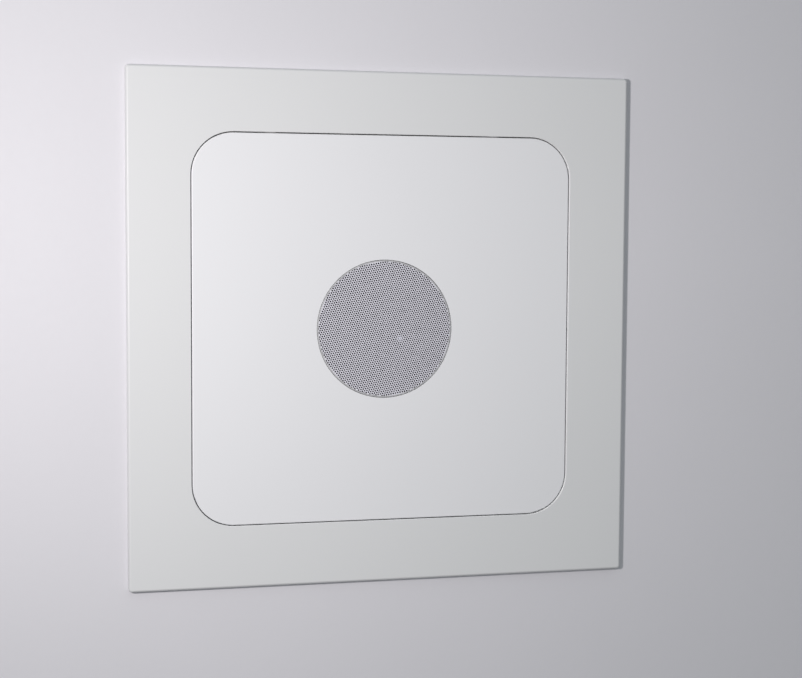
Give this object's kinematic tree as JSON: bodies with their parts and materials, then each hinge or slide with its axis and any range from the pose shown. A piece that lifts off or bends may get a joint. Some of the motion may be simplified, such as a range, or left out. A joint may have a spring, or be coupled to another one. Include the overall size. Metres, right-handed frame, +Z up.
{
  "type": "flush wall doorbell chime",
  "caption": "Square flush wall frame round a rounded-square chime unit with a round perforated speaker grille, light ring, back-up battery and rear sockets, clamped in a wall box.",
  "frame": {"origin": "middle of the wall cut-out, on the face of the wall", "axes": "+X to the right, +Y into the wall, +Z up, for a person who faces the unit"},
  "size_m": [0.224, 0.065, 0.224],
  "materials": {
    "trim_white": "satin powder coat",
    "unit_white": "fine satin moulding",
    "grille_white": "perforated sheet, satin paint",
    "box_grey": "moulded, fine texture",
    "wing_black": "glass-filled moulding",
    "zinc_steel": "zinc plated",
    "dark_steel": "nickel plated",
    "magnet_nickel": "nickel plate",
    "ferrite": "sintered ferrite",
    "black_rubber": "matt",
    "mesh_grey": "woven acoustic mesh",
    "diffuser": "opal diffuser",
    "board_green": "solder mask",
    "board_white": "white solder mask",
    "lamp_white": "phosphor lamp",
    "foam_black": "closed-cell foam",
    "cone_paper": "coated paper",
    "copper": "enamelled winding",
    "can_tin": "tinned sheet",
    "socket_black": "moulded",
    "button_grey": "moulded",
    "cell_blue": "heat-shrink sleeve",
    "antenna_film": "copper on film",
    "connector_cream": "moulded",
    "lead_sleeve": "soft vinyl sleeve"
  },
  "bodies": {
    "wall_mount": {"trim_frame": "trim_white", "trim_magnets": "magnet_nickel", "mounting_box": "box_grey", "strike_discs": "zinc_steel", "holding_magnets": "magnet_nickel", "cable_grommet": "black_rubber"},
    "unit": {"front_cover": "unit_white", "rear_housing": "unit_white", "housing_screws": "dark_steel", "rubber_feet": "black_rubber", "keeper_discs": "zinc_steel", "speaker_grille": "grille_white", "acoustic_mesh": "mesh_grey", "light_ring": "diffuser", "lamp_board": "board_white", "lamps": "lamp_white", "speaker_gasket": "foam_black", "speaker_basket": "dark_steel", "speaker_screws": "dark_steel", "speaker_surround": "black_rubber", "speaker_spider": "cone_paper", "top_plate": "zinc_steel", "ring_magnet": "ferrite", "pole_yoke": "zinc_steel", "main_board": "board_green", "board_screws": "dark_steel", "shield_cans": "can_tin", "network_socket": "socket_black", "supply_socket": "socket_black", "supply_pin": "magnet_nickel", "reset_switch": "socket_black", "battery_cells": "cell_blue", "battery_holder": "wing_black", "battery_pad": "foam_black", "antennas": "antenna_film", "battery_straps": "magnet_nickel", "board_connectors": "connector_cream", "antenna_sockets": "magnet_nickel", "board_chips": "socket_black", "board_capacitors": "can_tin", "speaker_terminal": "antenna_film", "speaker_leads": "lead_sleeve", "lamp_flex": "antenna_film", "battery_leads": "lead_sleeve", "antenna_leads": "lead_sleeve"},
    "cone": {"speaker_cone": "cone_paper", "dust_cap": "cone_paper", "voice_coil": "copper"},
    "button": {"reset_button": "button_grey", "switch_plunger": "button_grey"},
    "screw_upper_right": {"clamp_screw_upper_right": "zinc_steel"},
    "wing_upper_right": {"clamp_wing_upper_right": "wing_black"},
    "screw_upper_left": {"clamp_screw_upper_left": "zinc_steel"},
    "wing_upper_left": {"clamp_wing_upper_left": "wing_black"},
    "screw_lower_left": {"clamp_screw_lower_left": "zinc_steel"},
    "wing_lower_left": {"clamp_wing_lower_left": "wing_black"},
    "screw_lower_right": {"clamp_screw_lower_right": "zinc_steel"},
    "wing_lower_right": {"clamp_wing_lower_right": "wing_black"}
  },
  "joints": [
    {"name": "unit_pull_out", "type": "slide", "parent": "wall_mount", "child": "unit", "axis": [0, -1, 0], "range_m": [0, 0.045]},
    {"name": "cone_travel", "type": "slide", "parent": "unit", "child": "cone", "axis": [0, -1, 0], "range_m": [-0.0006, 0.0006], "stiffness_N_per_m": 900, "deforming": ["speaker_surround", "speaker_spider"]},
    {"name": "reset_press", "type": "slide", "parent": "unit", "child": "button", "axis": [0, -1, 0], "range_m": [0, 0.0005], "stiffness_N_per_m": 2000},
    {"name": "clamp_swing_upper_right", "type": "hinge", "parent": "wall_mount", "child": "screw_upper_right", "pos_m": [0.0933, 0.012, 0.0933], "axis": [0, -1, 0], "range_deg": [0, 90]},
    {"name": "clamp_draw_upper_right", "type": "slide", "parent": "screw_upper_right", "child": "wing_upper_right", "axis": [0, 1, 0], "range_m": [-0.0045, 0.0155]},
    {"name": "clamp_swing_upper_left", "type": "hinge", "parent": "wall_mount", "child": "screw_upper_left", "pos_m": [-0.0933, 0.012, 0.0933], "axis": [0, -1, 0], "range_deg": [0, 90]},
    {"name": "clamp_draw_upper_left", "type": "slide", "parent": "screw_upper_left", "child": "wing_upper_left", "axis": [0, 1, 0], "range_m": [-0.0045, 0.0155]},
    {"name": "clamp_swing_lower_left", "type": "hinge", "parent": "wall_mount", "child": "screw_lower_left", "pos_m": [-0.0933, 0.012, -0.0933], "axis": [0, -1, 0], "range_deg": [0, 90]},
    {"name": "clamp_draw_lower_left", "type": "slide", "parent": "screw_lower_left", "child": "wing_lower_left", "axis": [0, 1, 0], "range_m": [-0.0045, 0.0155]},
    {"name": "clamp_swing_lower_right", "type": "hinge", "parent": "wall_mount", "child": "screw_lower_right", "pos_m": [0.0933, 0.012, -0.0933], "axis": [0, -1, 0], "range_deg": [0, 90]},
    {"name": "clamp_draw_lower_right", "type": "slide", "parent": "screw_lower_right", "child": "wing_lower_right", "axis": [0, 1, 0], "range_m": [-0.0045, 0.0155]}
  ]
}
